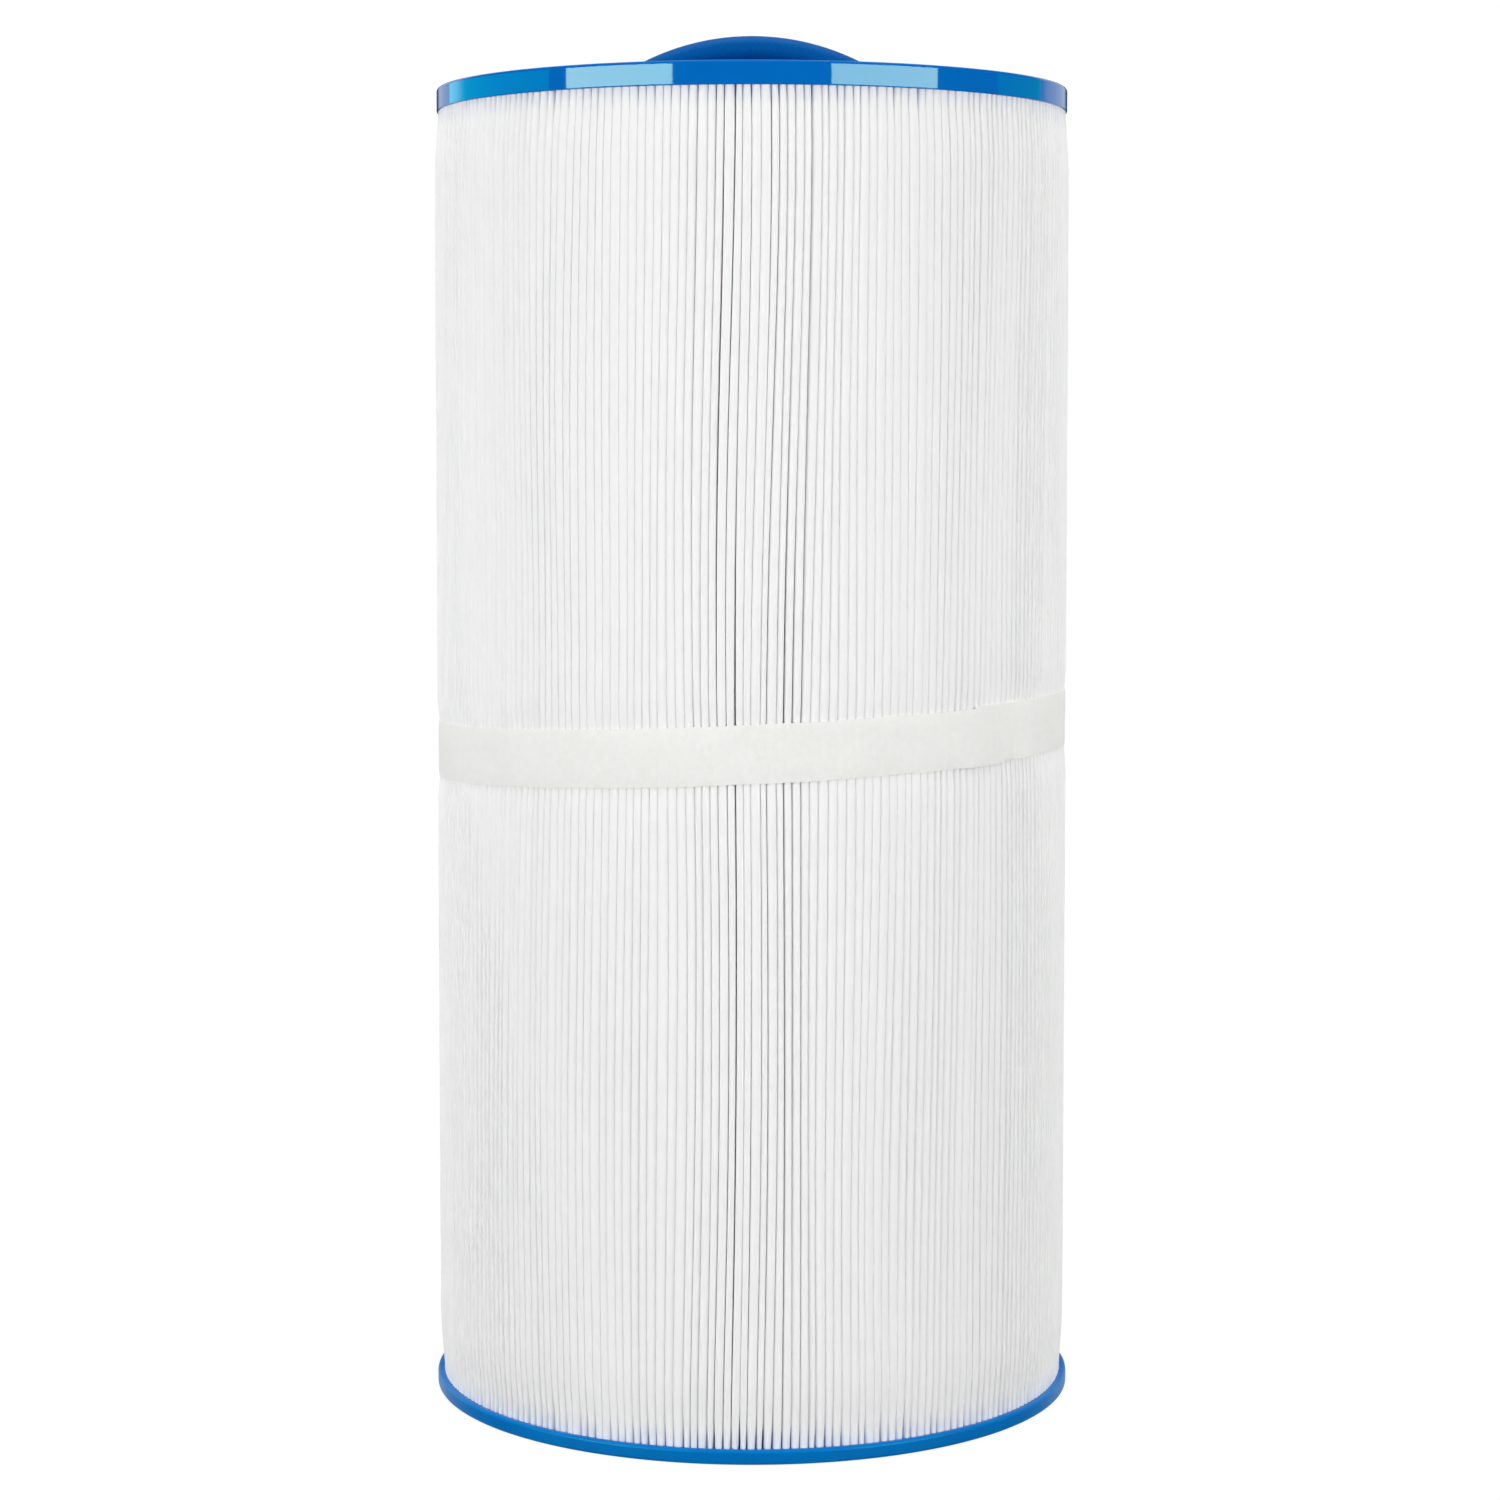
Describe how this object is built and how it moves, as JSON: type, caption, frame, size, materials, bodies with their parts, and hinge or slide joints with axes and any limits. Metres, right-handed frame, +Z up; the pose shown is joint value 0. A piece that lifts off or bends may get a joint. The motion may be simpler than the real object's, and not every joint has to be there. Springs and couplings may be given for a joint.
{
  "type": "filter cartridge",
  "caption": "Tall pleated cylinder filter cartridge with cast end caps, a fixed arched top grip, a retaining band, a lattice core and an open standpipe hole in the base.",
  "frame": {"origin": "centre of the bottom end cap's flat underside, on the cartridge's axis", "axes": "+Z up along the cartridge's axis from the open end to the grip; the grip's arch spans X; -Y is the front"},
  "size_m": [0.218, 0.218, 0.4623],
  "materials": {
    "top_cap_urethane": "gloss",
    "handle_plastic": "satin",
    "cup_plastic": "satin",
    "spunbond_media": "matte",
    "seam_hot_melt": "matte",
    "band_fabric": "matte",
    "band_hot_melt": "satin",
    "core_plastic": "satin",
    "bottom_cap_urethane": "satin",
    "adapter_plastic": "satin",
    "seal_rubber": "matte"
  },
  "bodies": {
    "root": {"top_end_cap": "top_cap_urethane", "handle": "handle_plastic", "handle_cup": "cup_plastic", "pleated_media": "spunbond_media", "seam_strip": "seam_hot_melt", "media_band": "band_fabric", "band_adhesive": "band_hot_melt", "core_section_1": "core_plastic", "core_section_2": "core_plastic", "core_section_3": "core_plastic", "core_section_4": "core_plastic", "bottom_end_cap": "bottom_cap_urethane", "core_adapter": "adapter_plastic", "standpipe_seal": "seal_rubber"}
  },
  "joints": []
}
